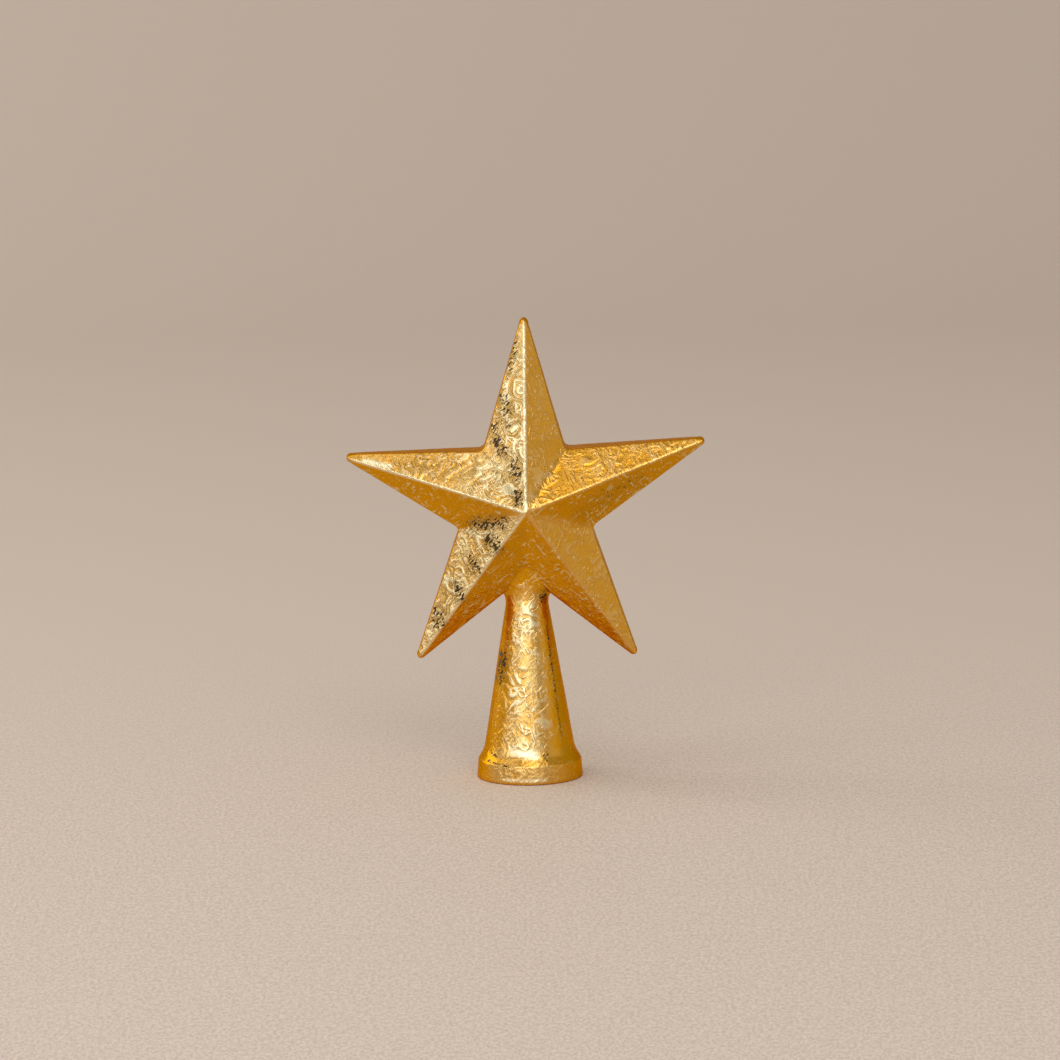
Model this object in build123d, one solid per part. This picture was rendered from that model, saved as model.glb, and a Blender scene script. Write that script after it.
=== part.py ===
"""Christmas tree topper star: a hollow gilded star on a tapered stem that drops over a tree's top shoot.

Frame: millimetres, +Z up, the star faces -Y. The origin is the centre of the foot, on the surface
that the collar stands on.
"""

from build123d import *
import math
import os

# Star, seen from the front
RAY_COUNT = 5
STAR_CENTRE_HEIGHT = 107.4
TIP_CIRCLE_RADIUS = 76.8
NOTCH_CIRCLE_RADIUS = 26.7
TIP_ROUND = 1.2
NOTCH_ROUND = 2.0

# Star, front to back: the rim band is widest in the notches and narrows towards the tips
STAR_DEPTH = 46.0
RIM_WIDTH_AT_NOTCH = 13.6
RIM_WIDTH_AT_TIP = 5.6
SHELL_WALL = 2.4

# Pegs across the seam of the star, one in each ray
PEG_CIRCLE_RADIUS = 36.0
PEG_RADIUS = 1.5
PEG_LENGTH = 9.0
PEG_CHAMFER = 0.4
PEG_BOSS_WALL = 1.6

# Tube in the neck
TUBE_RADIUS = 4.5
TUBE_WALL = 0.8
TUBE_TOP_BELOW_CENTRE = 6.0
TUBE_BELOW_SEAT = 4.0
RIB_WIDTH = 22.0
RIB_THICKNESS = 3.0
RIB_BELOW_TUBE_TOP = 2.0

# Stem
STEM_FOOT_RADIUS = 17.6
STEM_WALL = 2.4
NECK_WALL = 1.65
TUBE_SEAT_LENGTH = 18.0
SPIGOT_STEP = 1.0
SPIGOT_WALL = 2.0

# Bead of filler round the neck
BEAD_HEIGHT = 13.0
BEAD_STEP = 0.1
BEAD_TOP_THICKNESS = 1.4

# Collar at the foot
COLLAR_PROUD = 2.6
COLLAR_SIDE_HEIGHT = 7.2
COLLAR_SHOULDER_HEIGHT = 4.0
COLLAR_EDGE_ROUND = 2.0
COLLAR_FOOT_ROUND = 0.8
COLLAR_LEDGE_HEIGHT = 1.6

# Fits
GLUE_GAP = 0.05
END_GAP = 0.2

# Worked out from the sizes above
half_depth = STAR_DEPTH / 2
half_ray_turn = math.pi / RAY_COUNT
notch_across = NOTCH_CIRCLE_RADIUS * math.sin(half_ray_turn)
notch_along = NOTCH_CIRCLE_RADIUS * math.cos(half_ray_turn)
ray_half_angle = math.atan2(notch_across, TIP_CIRCLE_RADIUS - notch_along)
edge_distance = TIP_CIRCLE_RADIUS * math.sin(ray_half_angle)
first_ray_turn = 180 / RAY_COUNT - 90
notch_height = STAR_CENTRE_HEIGHT - NOTCH_CIRCLE_RADIUS
tube_top = STAR_CENTRE_HEIGHT - TUBE_TOP_BELOW_CENTRE
seat_bottom = notch_height - TUBE_SEAT_LENGTH
tube_bottom = seat_bottom - TUBE_BELOW_SEAT
tube_hole_radius = TUBE_RADIUS + GLUE_GAP
neck_radius = tube_hole_radius + NECK_WALL
spigot_radius = STEM_FOOT_RADIUS - SPIGOT_STEP
mouth_radius = spigot_radius - SPIGOT_WALL
collar_radius = STEM_FOOT_RADIUS + COLLAR_PROUD
collar_height = COLLAR_SIDE_HEIGHT + COLLAR_SHOULDER_HEIGHT

standing = (Align.CENTER, Align.CENTER, Align.MIN)
star_plane = Plane(origin=(0, 0, STAR_CENTRE_HEIGHT), x_dir=(1, 0, 0), z_dir=(0, -1, 0))


def stem_radius(height):
    """Outer radius of the stem's straight taper at a height."""
    share = (height - collar_height) / (notch_height - collar_height)
    return STEM_FOOT_RADIUS + (neck_radius - STEM_FOOT_RADIUS) * share


def turned(points):
    """A solid of revolution about +Z from (radius, height) points."""
    profile = Polyline(*[(radius, 0, height) for radius, height in points], close=True)
    return revolve(make_face(profile), Axis.Z)


def upright_cylinder(radius, bottom, top):
    """A round bar on the Z axis between two heights."""
    return Pos(0, 0, bottom) * Cylinder(radius, top - bottom, align=standing)


def star_corners():
    """The sharp corners of half a star's rim, from the notch over the stem, notches and tips in turn."""
    corners = []
    for step in range(2 * RAY_COUNT):
        radius = TIP_CIRCLE_RADIUS if step % 2 else NOTCH_CIRCLE_RADIUS
        rim_width = RIM_WIDTH_AT_TIP if step % 2 else RIM_WIDTH_AT_NOTCH
        angle = step * half_ray_turn - math.pi / 2
        corners.append(Vector(radius * math.cos(angle), radius * math.sin(angle), rim_width / 2))
    return corners


def star_outline(size, tip_round, notch_round):
    """The star's outline on the XY plane, with the sharp corners moved in or out by one factor."""
    flat_corners = [(size * corner.X, size * corner.Y) for corner in star_corners()]
    outline = make_face(Polyline(*flat_corners, close=True))
    between = size * (NOTCH_CIRCLE_RADIUS + TIP_CIRCLE_RADIUS) / 2
    tips = [corner for corner in outline.vertices() if corner.center().length > between]
    outline = fillet(tips, tip_round)
    notches = [corner for corner in outline.vertices() if corner.center().length < between]
    return fillet(notches, notch_round)


def tent():
    """The space under all the facet planes, drawn past the outline and far below the XY plane."""
    past_outline = 1.2
    apex = Vector(0, 0, half_depth)
    eaves = [apex + (corner - apex) * past_outline for corner in star_corners()]
    ground = [Vector(eave.X, eave.Y, -STAR_DEPTH) for eave in eaves]
    faces = [make_face(Polyline(*ground, close=True))]
    for step, eave in enumerate(eaves):
        after = (step + 1) % len(eaves)
        faces.append(make_face(Polyline(apex, eave, eaves[after], close=True)))
        faces.append(make_face(Polyline(eave, eaves[after], ground[after], ground[step], close=True)))
    return Solid(Shell([part.face() for part in faces]))


def facet_normal():
    """Unit normal of one facet. Every facet leans alike, so its Z is the same for all."""
    apex = Vector(0, 0, half_depth)
    notch, tip = star_corners()[:2]
    return (notch - apex).cross(tip - apex).normalized()


def half_star():
    """Half of the star's outside on the XY plane: straight rim faces under flat facets."""
    return extrude(star_outline(1, TIP_ROUND, NOTCH_ROUND), half_depth) & tent()


def cavity():
    """The hollow of half a star, one wall inside every facet and every rim face."""
    size = (edge_distance - SHELL_WALL) / edge_distance
    inner_outline = star_outline(size, TIP_ROUND * size, NOTCH_ROUND * size)
    drop = SHELL_WALL / facet_normal().Z
    return extrude(inner_outline, half_depth) & Pos(0, 0, -drop) * tent()


def on_each_ray(shape):
    """Copies of a shape that stands on the X axis, one on the axis of each ray."""
    return [Rot(0, 0, first_ray_turn + step * 360 / RAY_COUNT) * shape for step in range(RAY_COUNT)]


def star_shell(solid):
    """One hollow half of the star, with a boss for each peg and a rib that holds the tube."""
    at_peg = Pos(PEG_CIRCLE_RADIUS, 0, 0)
    boss = at_peg * Cylinder(PEG_RADIUS + GLUE_GAP + PEG_BOSS_WALL, half_depth, align=standing)
    socket = at_peg * Cylinder(PEG_RADIUS + GLUE_GAP, PEG_LENGTH / 2 + END_GAP, align=standing)
    rib_height = -TUBE_TOP_BELOW_CENTRE - RIB_BELOW_TUBE_TOP - RIB_THICKNESS / 2
    rib = Pos(0, rib_height, 0) * Box(RIB_WIDTH, RIB_THICKNESS, half_depth, align=standing)
    inside = Compound(on_each_ray(boss) + [rib]) & solid
    shell = solid - cavity() + inside
    return shell - on_each_ray(socket)


def make_star_shells():
    """The front and back halves and the whole star's outside, in the object's own frame."""
    solid = half_star()
    tube_hole = upright_cylinder(tube_hole_radius, seat_bottom, tube_top + END_GAP)
    front = star_plane * star_shell(solid) - tube_hole
    outside = star_plane * solid
    outside = outside + mirror(outside, Plane.XZ)
    return front, mirror(front, Plane.XZ), outside


def make_pegs():
    """One plain dowel in each ray, half in each shell."""
    peg = Pos(PEG_CIRCLE_RADIUS, 0, 0) * Cylinder(PEG_RADIUS, PEG_LENGTH)
    peg = chamfer(peg.edges().filter_by(GeomType.CIRCLE), PEG_CHAMFER)
    return [star_plane * copy for copy in on_each_ray(peg)]


def make_tube():
    """The metal tube that joins the stem to the star and takes the tree's top shoot."""
    outside = upright_cylinder(TUBE_RADIUS, tube_bottom, tube_top)
    return outside - upright_cylinder(TUBE_RADIUS - TUBE_WALL, tube_bottom, tube_top)


def make_stem(star):
    """The hollow stem: spigot, taper and a saddle that fits under the two lower rays."""
    spigot_bottom = COLLAR_LEDGE_HEIGHT + END_GAP
    outside = turned([
        (0, spigot_bottom),
        (spigot_radius, spigot_bottom),
        (spigot_radius, collar_height),
        (STEM_FOOT_RADIUS, collar_height),
        (neck_radius, notch_height),
        (0, notch_height),
    ])
    hollow = turned([
        (0, spigot_bottom),
        (mouth_radius, spigot_bottom),
        (mouth_radius, collar_height),
        (stem_radius(seat_bottom) - STEM_WALL, seat_bottom),
        (0, seat_bottom),
    ])
    seat = upright_cylinder(tube_hole_radius, seat_bottom, notch_height)
    return outside - hollow - seat - star


def make_bead(star):
    """The bead round the top of the stem, cut to the stem's taper and to the star's underside."""
    bottom = notch_height - BEAD_HEIGHT
    sleeve = turned([
        (stem_radius(bottom), bottom),
        (stem_radius(bottom) + BEAD_STEP, bottom),
        (neck_radius + BEAD_TOP_THICKNESS, notch_height),
        (neck_radius + BEAD_TOP_THICKNESS, STAR_CENTRE_HEIGHT),
        (neck_radius, STAR_CENTRE_HEIGHT),
        (neck_radius, notch_height),
    ])
    return sleeve - star


def widest_circles(ring):
    """The collar's edges that run round its straight side."""
    circles = ring.edges().filter_by(GeomType.CIRCLE)
    return [edge for edge in circles if math.isclose(edge.radius, collar_radius)]


def edge_height(edge):
    """Height of a level edge."""
    return edge.center().Z


def make_collar():
    """The chamfered ring on the stem's spigot, with a ledge under the spigot's end."""
    ring = turned([
        (mouth_radius, 0),
        (collar_radius, 0),
        (collar_radius, COLLAR_SIDE_HEIGHT),
        (STEM_FOOT_RADIUS, collar_height),
        (spigot_radius + GLUE_GAP, collar_height),
        (spigot_radius + GLUE_GAP, COLLAR_LEDGE_HEIGHT),
        (mouth_radius, COLLAR_LEDGE_HEIGHT),
    ])
    ring = fillet(min(widest_circles(ring), key=edge_height), COLLAR_FOOT_ROUND)
    return fillet(max(widest_circles(ring), key=edge_height), COLLAR_EDGE_ROUND)


def main():
    os.makedirs("parts", exist_ok=True)
    front, back, star = make_star_shells()
    nodes = {
        "front_star_shell": front,
        "back_star_shell": back,
        "alignment_pegs": Compound(children=make_pegs()),
        "neck_tube": make_tube(),
        "stem_cone": make_stem(star),
        "neck_bead": make_bead(star),
        "base_collar": make_collar(),
    }
    for name, shape in nodes.items():
        export_step(shape, f"parts/{name}.step")


main()
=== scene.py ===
# %% [markdown]
# # A gilded star for the top of a Christmas tree
# The object is a hollow five-ray star on a tapered stem, cast in resin and covered with wrinkled
# gold-coloured metal leaf. Its construction is already made as solids, which are loaded first and
# never moved. This lesson dresses them: it models the leafed outside of each piece with the relief
# that the leaf has, and mixes the finishes.

# %% Load the construction
import math

import bmesh
import bpy
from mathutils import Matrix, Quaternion, Vector
from mathutils.geometry import intersect_point_line


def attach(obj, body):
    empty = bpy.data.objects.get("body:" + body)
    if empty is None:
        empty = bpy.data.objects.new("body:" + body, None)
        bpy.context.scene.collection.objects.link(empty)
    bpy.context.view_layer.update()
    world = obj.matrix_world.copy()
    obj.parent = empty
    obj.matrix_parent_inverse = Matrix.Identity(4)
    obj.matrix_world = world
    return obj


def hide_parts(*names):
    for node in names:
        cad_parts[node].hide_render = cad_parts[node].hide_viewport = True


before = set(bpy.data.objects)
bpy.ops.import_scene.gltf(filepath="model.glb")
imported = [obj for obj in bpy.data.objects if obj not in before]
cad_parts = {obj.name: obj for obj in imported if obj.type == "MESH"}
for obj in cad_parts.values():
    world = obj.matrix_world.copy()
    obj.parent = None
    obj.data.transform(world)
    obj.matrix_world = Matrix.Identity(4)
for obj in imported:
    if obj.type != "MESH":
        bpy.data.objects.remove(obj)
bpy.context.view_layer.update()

MM = 0.001
print("solids:", sorted(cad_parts))

# %% [markdown]
# ## The camera
# The star was seen from a little above with a long lens, so its edges hardly converge. A camera can
# be placed by trial, but it is easier to write down where it stood: how far away, how high, and how
# it was tilted. The aim point lies in the star's middle plane, a touch to one side of the axis.

# %% Place the camera
IMAGE_SIDE = 1060
FOCAL_LENGTH_IN_PIXELS = 5405.6
CAMERA_DISTANCE = 2119 * MM
CAMERA_ELEVATION = math.radians(11.8)
CAMERA_TILT = math.radians(-1.02)
AIM = Vector((1.63, 0, 97.1)) * MM
SENSOR_WIDTH = 36
FARTHEST_SEEN = 20

camera_data = bpy.data.cameras.new("camera")
camera_data.sensor_width = SENSOR_WIDTH
camera_data.lens = SENSOR_WIDTH * FOCAL_LENGTH_IN_PIXELS / IMAGE_SIDE
camera_data.clip_end = FARTHEST_SEEN
camera = bpy.data.objects.new("camera", camera_data)
bpy.context.scene.collection.objects.link(camera)
camera.location = (
    0,
    -CAMERA_DISTANCE * math.cos(CAMERA_ELEVATION),
    CAMERA_DISTANCE * math.sin(CAMERA_ELEVATION),
)
look = (AIM - camera.location).to_track_quat("-Z", "Y")
camera.rotation_mode = "QUATERNION"
camera.rotation_quaternion = look @ Quaternion((0, 0, 1), CAMERA_TILT)
bpy.context.scene.camera = camera
print("lens in mm:", round(camera_data.lens, 1))

# %% [markdown]
# ## Working by hand, in code
# An operator acts on everything that is selected, so each step starts by selecting only what it
# needs. These helpers do what a hand does in the viewport: take one object, enter edit mode, click
# on the corners, edges or faces in one place, turn faces outwards, and give a piece its name.

# %% Helpers for working by hand


def put_down():
    """Leave edit mode and select nothing."""
    if bpy.context.mode != "OBJECT":
        bpy.ops.object.mode_set(mode="OBJECT")
    bpy.ops.object.select_all(action="DESELECT")


def take(piece):
    """Make one object the only selected and active one, in object mode."""
    put_down()
    piece.select_set(True)
    bpy.context.view_layer.objects.active = piece


def edit(piece):
    """Enter edit mode on one object."""
    take(piece)
    bpy.ops.object.mode_set(mode="EDIT")


def middle(part):
    """The place of a vertex, or the middle of an edge or a face."""
    if isinstance(part, bmesh.types.BMVert):
        return part.co
    return sum((corner.co for corner in part.verts), Vector()) / len(part.verts)


def pick(kind, test):
    """In edit mode, select only the vertices, edges or faces whose place passes a test."""
    bpy.ops.mesh.select_mode(type=kind)
    bpy.ops.mesh.select_all(action="DESELECT")
    mesh = bmesh.from_edit_mesh(bpy.context.edit_object.data)
    parts = {"VERT": mesh.verts, "EDGE": mesh.edges, "FACE": mesh.faces}[kind]
    for part in parts:
        part.select_set(bool(test(middle(part))))
    mesh.select_flush_mode()
    bmesh.update_edit_mesh(bpy.context.edit_object.data)


def face_outwards():
    """In edit mode, turn every face's normal to the outside."""
    bpy.ops.mesh.select_all(action="SELECT")
    bpy.ops.mesh.normals_make_consistent(inside=False)


def named(piece, name):
    """Give a piece and its mesh one name."""
    piece.name = name
    piece.data.name = name
    return piece


print("helpers are ready")

# %% [markdown]
# ## The studio
# A seamless sheet of warm beige paper runs from under the object up behind it. It is a plane with
# its far edge extruded upwards and the fold bevelled into a wide curve, so that no corner shows.
# It lies a hair below the foot, because two faces in exactly one place would flicker.

# %% Sweep of paper
FLOOR_WIDTH = 6.0
FLOOR_FRONT = -2.6
FLOOR_BACK = 2.8
FLOOR_LEVEL = -0.05 * MM
SWEEP_HEIGHT = 3.0
SWEEP_RADIUS = 1.4
SWEEP_SEGMENTS = 32
ROUND_PROFILE = 0.5


def at_fold(place):
    """True for the edge where the floor turns up."""
    return place.y > FLOOR_BACK - MM and place.z < MM and abs(place.x) < MM


put_down()
floor_middle = (0, (FLOOR_FRONT + FLOOR_BACK) / 2, FLOOR_LEVEL)
bpy.ops.mesh.primitive_plane_add(size=1, location=floor_middle)
paper = bpy.context.object
paper.name = "paper_sweep"
paper.scale = (FLOOR_WIDTH, FLOOR_BACK - FLOOR_FRONT, 1)
bpy.ops.object.transform_apply(location=True, rotation=True, scale=True)
edit(paper)
pick("EDGE", lambda place: place.y > FLOOR_BACK - MM)
bpy.ops.mesh.extrude_region_move(TRANSFORM_OT_translate={"value": (0, 0, SWEEP_HEIGHT)})
pick("EDGE", at_fold)
bpy.ops.mesh.bevel(
    offset=SWEEP_RADIUS, segments=SWEEP_SEGMENTS, profile=ROUND_PROFILE, affect="EDGES"
)
take(paper)
bpy.ops.object.shade_smooth()
put_down()
print("paper faces:", len(paper.data.polygons))

# %% [markdown]
# ## Light
# Gold shows what is around it, so the lamps are soft panels, most of them large. The key stands
# high, just right of the camera, and two wide panels in front fill the facets that face the viewer.
# A small panel at the left lights the left-hand facets, a large one behind it and one overhead light
# the paper, and a faint one at the right lifts the dark side. The rest of the room is an even warm
# grey. A panel's strength is written as its brightness, and the lamp's power follows from its area.

# %% Soft panels
LAMP_COLOUR = (1.0, 0.97, 0.94)
ROOM_COLOUR = (1.0, 0.95, 0.88, 1)
ROOM_BRIGHTNESS = 0.42
AT_OBJECT = (0, 0, 0.1)
# For each panel: its place, what it is aimed at, its width and height, and its brightness.
PANELS = {
    "left_panel": ((-1.15, -0.6, 0.4), AT_OBJECT, (0.45, 0.45), 1.65),
    "side_panel": ((-2.4, 1.0, 1.1), (0.2, 1.2, 0.2), (1.6, 1.6), 1.7),
    "ceiling_panel": ((-1.2, -0.2, 2.0), (-1.2, -0.2, 0), (2.4, 2.2), 0.9),
    "key_panel": ((0.45, -1.7, 1.7), AT_OBJECT, (1.0, 1.0), 2.8),
    "front_panel": ((-0.5, -2.6, 0.9), AT_OBJECT, (2.0, 1.4), 1.0),
    "front_wash": ((-0.5, -2.9, 0.95), AT_OBJECT, (5.0, 2.0), 0.6),
    "right_panel": ((1.6, -0.7, 0.4), AT_OBJECT, (1.2, 1.0), 0.26),
}


def soft_panel(name, place, aim, size, brightness):
    """A rectangular lamp that is as bright as a surface of that brightness."""
    width, height = size
    data = bpy.data.lights.new(name, "AREA")
    data.shape = "RECTANGLE"
    data.size = width
    data.size_y = height
    data.energy = brightness * math.pi * width * height
    data.color = LAMP_COLOUR
    lamp = bpy.data.objects.new(name, data)
    bpy.context.scene.collection.objects.link(lamp)
    lamp.location = place
    lamp.rotation_mode = "QUATERNION"
    lamp.rotation_quaternion = (Vector(aim) - Vector(place)).to_track_quat("-Z", "Y")


for panel_name, panel in PANELS.items():
    soft_panel(panel_name, *panel)
world = bpy.data.worlds.new("room")
bpy.context.scene.world = world
world.use_nodes = True
room = world.node_tree.nodes["Background"]
room.inputs["Color"].default_value = ROOM_COLOUR
room.inputs["Strength"].default_value = ROOM_BRIGHTNESS
bpy.context.scene.view_settings.view_transform = "Standard"
print("lamps:", len(bpy.data.lights))

# %% [markdown]
# ## The star's outline
# Before the leaf, the star is ten flat facets that rise from a flat rim band to a point in the middle
# of the front and of the back. A circle of ten corners gives its outline when every other corner is
# drawn in to the notches, a little less deep than the solid's because leaf and size fill them. No
# ray of a handmade star points exactly where it should, so each tip is nudged.

# %% Draw the outline
RAYS = 5
STAR_CENTRE = 107.4 * MM
TIP_CIRCLE = 78.4 * MM
NOTCH_CIRCLE = 26.7 * MM
NOTCH_FILL = 0.7 * MM
TIP_NUDGES = {
    0: Vector((0.7, 0, -0.5)) * MM,
    1: Vector((0.0, 0, 1.5)) * MM,
    2: Vector((-1.2, 0, -0.4)) * MM,
    3: Vector((0.6, 0, -0.3)) * MM,
    4: Vector((0.7, 0, -3.0)) * MM,
}

half_turn = math.pi / RAYS
star_middle = Vector((0, 0, STAR_CENTRE))


def corner_number(place):
    """Which of the star's ten corners a place is nearest to, clockwise from the top tip."""
    return round(math.atan2(place.x, place.z - STAR_CENTRE) / half_turn) % (2 * RAYS)


def is_tip(place):
    """True near a tip, false near a notch."""
    return corner_number(place) % 2 == 0


def star_plate(name, size):
    """A flat star in the XZ plane with sharp corners, left in edit mode."""
    put_down()
    bpy.ops.mesh.primitive_circle_add(
        vertices=2 * RAYS,
        radius=size * TIP_CIRCLE,
        fill_type="NGON",
        location=star_middle,
        rotation=(math.pi / 2, 0, 0),
    )
    plate = named(bpy.context.object, name)
    bpy.ops.object.transform_apply(location=True, rotation=True, scale=True)
    edit(plate)
    pick("VERT", lambda place: not is_tip(place))
    drawn_in = (NOTCH_CIRCLE + NOTCH_FILL) / TIP_CIRCLE
    bpy.ops.transform.resize(value=(drawn_in,) * 3, center_override=star_middle)
    for ray, nudge in TIP_NUDGES.items():
        pick("VERT", lambda place: corner_number(place) == 2 * ray)
        bpy.ops.transform.translate(value=size * nudge)
    return plate


print("corners of the outline:", 2 * RAYS)

# %% [markdown]
# ## A block with the star's outline
# The first of two shapes is a straight block, as a pastry cutter would cut it. Its tips and notches
# are rounded by a bevel on the corners of the flat plate, and the plate is then extruded right
# through the star's depth.

# %% Cut the block
HALF_DEPTH = 23.0 * MM
BLOCK_REACH = 1.1 * HALF_DEPTH
TIP_CORNER_CUT = 8.5 * MM
NOTCH_CORNER_CUT = 1.9 * MM
CORNER_SEGMENTS = 8


def star_block():
    """The outline with rounded tips and notches, cut straight through."""
    block = star_plate("star_blank", 1)
    tip_edge = (NOTCH_CIRCLE + TIP_CIRCLE) / 2
    for outer, cut in ((True, TIP_CORNER_CUT), (False, NOTCH_CORNER_CUT)):
        pick("VERT", lambda place: ((place - star_middle).length > tip_edge) == outer)
        bpy.ops.mesh.bevel(
            offset=cut,
            offset_type="ABSOLUTE",
            segments=CORNER_SEGMENTS,
            profile=ROUND_PROFILE,
            affect="VERTICES",
        )
    bpy.ops.mesh.select_all(action="SELECT")
    bpy.ops.transform.translate(value=(0, BLOCK_REACH, 0))
    through = (0, -2 * BLOCK_REACH, 0)
    bpy.ops.mesh.extrude_region_move(TRANSFORM_OT_translate={"value": through})
    face_outwards()
    put_down()
    return block


blank = star_block()
print("block:", len(blank.data.polygons), "faces")

# %% [markdown]
# ## A tent of facets
# The second shape holds the twenty facets and is drawn a little larger than the outline. A plate is
# extruded to the depth of the rim, its tips are let back where the rim is narrow, and its front face
# is poked, so that it becomes ten triangles round one corner that moves out to the star's point. A
# mirror makes the back. Working on one half keeps both sides alike.

# %% Raise the tent
HALF_RIM_AT_NOTCH = 6.8 * MM
HALF_RIM_AT_TIP = 2.4 * MM
TENT_SIZE = 1.05
NEAR_MIDDLE = 5 * MM
HAIR = 0.01 * MM


def apply_modifier(piece, kind, **settings):
    """Add a modifier to a piece, set it and apply it."""
    take(piece)
    modifier = piece.modifiers.new(kind.lower(), kind)
    for name, value in settings.items():
        setattr(modifier, name, value)
    bpy.ops.object.modifier_apply(modifier=modifier.name)


def raise_point(tent, in_front):
    """Poke the front face of a tent and move its middle out to the star's point."""
    bpy.ops.mesh.select_mode(type="FACE")
    bpy.ops.mesh.select_all(action="DESELECT")
    mesh = bmesh.from_edit_mesh(tent.data)
    front_faces = [face for face in mesh.faces if middle(face).y < in_front]
    max(front_faces, key=lambda face: len(face.verts)).select_set(True)
    bmesh.update_edit_mesh(tent.data)
    bpy.ops.mesh.poke(center_mode="MEDIAN")
    pick("VERT", lambda place: (Vector((place.x, 0, place.z)) - star_middle).length < NEAR_MIDDLE)
    mesh = bmesh.from_edit_mesh(tent.data)
    point = next(corner for corner in mesh.verts if corner.select)
    bpy.ops.transform.translate(value=Vector((0, -HALF_DEPTH, STAR_CENTRE)) - point.co)


def star_tent():
    """All twenty facets, drawn a little past the outline."""
    notch_depth = HALF_DEPTH - (HALF_DEPTH - HALF_RIM_AT_NOTCH) * TENT_SIZE
    tip_depth = HALF_DEPTH - (HALF_DEPTH - HALF_RIM_AT_TIP) * TENT_SIZE
    tent = star_plate("star_tent", TENT_SIZE)
    bpy.ops.mesh.select_all(action="SELECT")
    bpy.ops.mesh.extrude_region_move(TRANSFORM_OT_translate={"value": (0, -notch_depth, 0)})
    in_front = -notch_depth / 2
    pick("VERT", lambda place: place.y < in_front and is_tip(place))
    bpy.ops.transform.translate(value=(0, notch_depth - tip_depth, 0))
    raise_point(tent, in_front)
    # The half is left open on the middle plane, and the mirror closes it with the back.
    pick("FACE", lambda place: abs(place.y) < HAIR)
    bpy.ops.mesh.delete(type="FACE")
    apply_modifier(tent, "MIRROR", use_axis=(False, True, False), use_clip=True)
    edit(tent)
    bpy.ops.mesh.select_all(action="SELECT")
    bpy.ops.mesh.remove_doubles(threshold=HAIR)
    face_outwards()
    put_down()
    return tent


tent = star_tent()
print("tent:", len(tent.data.polygons), "faces")

# %% [markdown]
# ## What block and tent share
# A Boolean keeps what the two shapes share: the facets come from the tent, and the rim band from the
# block. Facets and rim could also be drawn face by face, but then every rounded corner would have to
# be worked out by hand.

# %% Keep the shared part


def throw_away(*pieces):
    """Delete helper objects that have done their work."""
    for piece in pieces:
        bpy.data.objects.remove(piece)


apply_modifier(blank, "BOOLEAN", operation="INTERSECT", object=tent, solver="EXACT")
throw_away(tent)
print("blank:", len(blank.data.vertices), "corners,", len(blank.data.polygons), "faces")

# %% [markdown]
# ## A fine net, and knobs on the tips
# A voxel remesh turns the blank into an even net of small squares, which gives the leaf's relief the
# points that it needs. On the real star size and leaf gather at the tips in small knobs, so the net
# is swollen there along its normals.

# %% Remesh and swell the tips
VOXEL = 0.40 * MM
TIP_ROUNDING = 4.9 * MM
KNOB_REACH = 2.6 * MM
KNOB_SWELLING = 0.45 * MM


def copy_of(piece, name):
    """A copy of a piece with its own mesh."""
    take(piece)
    bpy.ops.object.duplicate()
    return named(bpy.context.object, name)


def tip_offset(ray):
    """The step from the star's middle to the middle of a ray's rounded tip."""
    turn = 2 * half_turn * ray
    outwards = Vector((math.sin(turn), 0, math.cos(turn)))
    return (TIP_CIRCLE - TIP_ROUNDING) * outwards + TIP_NUDGES[ray]


star = copy_of(blank, "gilded_star")
apply_modifier(star, "REMESH", mode="VOXEL", voxel_size=VOXEL)
edit(star)
for ray in range(RAYS):
    tip = star_middle + tip_offset(ray)
    pick("VERT", lambda place: (place - tip).length < KNOB_REACH)
    bpy.ops.transform.shrink_fatten(value=KNOB_SWELLING)
put_down()
print("net:", len(star.data.polygons), "faces")

# %% [markdown]
# ## From a blank to a soft casting
# Nothing on the gilded star is sharp: size and leaf soften every ridge, and fill the valleys between
# the rays even more. Some passes of a Smooth modifier round the ridges. Many more passes work on a
# vertex group, whose weights are full in the valleys and fade out beside them.

# %% Soften the ridges and the valleys
SOFTENING = 0.5
SOFTENING_PASSES = 11
VALLEY_PASSES = 120
VALLEY_REACH = 7.0 * MM
VALLEY_START = 3.0 * MM
VALLEY_END = 21.0 * MM
END_STEEPNESS = 2
VALLEYS = "valleys"


def fade(distance, reach):
    """1 at no distance, 0 from the reach on, with a soft middle."""
    share = max(0.0, 1 - distance / reach)
    return share * share * (3 - 2 * share)


def nearest_valley(place):
    """The number of the nearest valley between two rays, and the nearness to its line."""
    offset = Vector((place.x, place.z - STAR_CENTRE))
    number = math.floor(math.atan2(offset.x, offset.y) / (2 * half_turn)) % RAYS
    turn = (2 * number + 1) * half_turn
    line = Vector((math.sin(turn), math.cos(turn)))
    past_ends = max(VALLEY_START - offset.dot(line), offset.dot(line) - VALLEY_END, 0)
    distance = math.hypot(offset.cross(line), END_STEEPNESS * past_ends)
    return number, fade(distance, VALLEY_REACH)


apply_modifier(star, "SMOOTH", factor=SOFTENING, iterations=SOFTENING_PASSES)
valley_group = star.vertex_groups.new(name=VALLEYS)
for corner in star.data.vertices:
    number, nearness = nearest_valley(corner.co)
    if nearness > 0 and abs(corner.co.y) > HALF_RIM_AT_NOTCH:
        valley_group.add([corner.index], nearness, "REPLACE")
apply_modifier(
    star, "SMOOTH", factor=SOFTENING, iterations=VALLEY_PASSES, vertex_group=VALLEYS
)
print("softened star in mm:", [round(side / MM, 1) for side in star.dimensions])

# %% [markdown]
# ## Back to its width and height
# Smoothing draws the tips in. The star is stretched back along X and Z until its box is the blank's
# again. Each stretch has its own fixed point, from which both ends come out right.

# %% Stretch the star back


def extent(piece, axis):
    """Lowest and highest place of a mesh along one axis."""
    places = [corner.co[axis] for corner in piece.data.vertices]
    return min(places), max(places)


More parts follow.
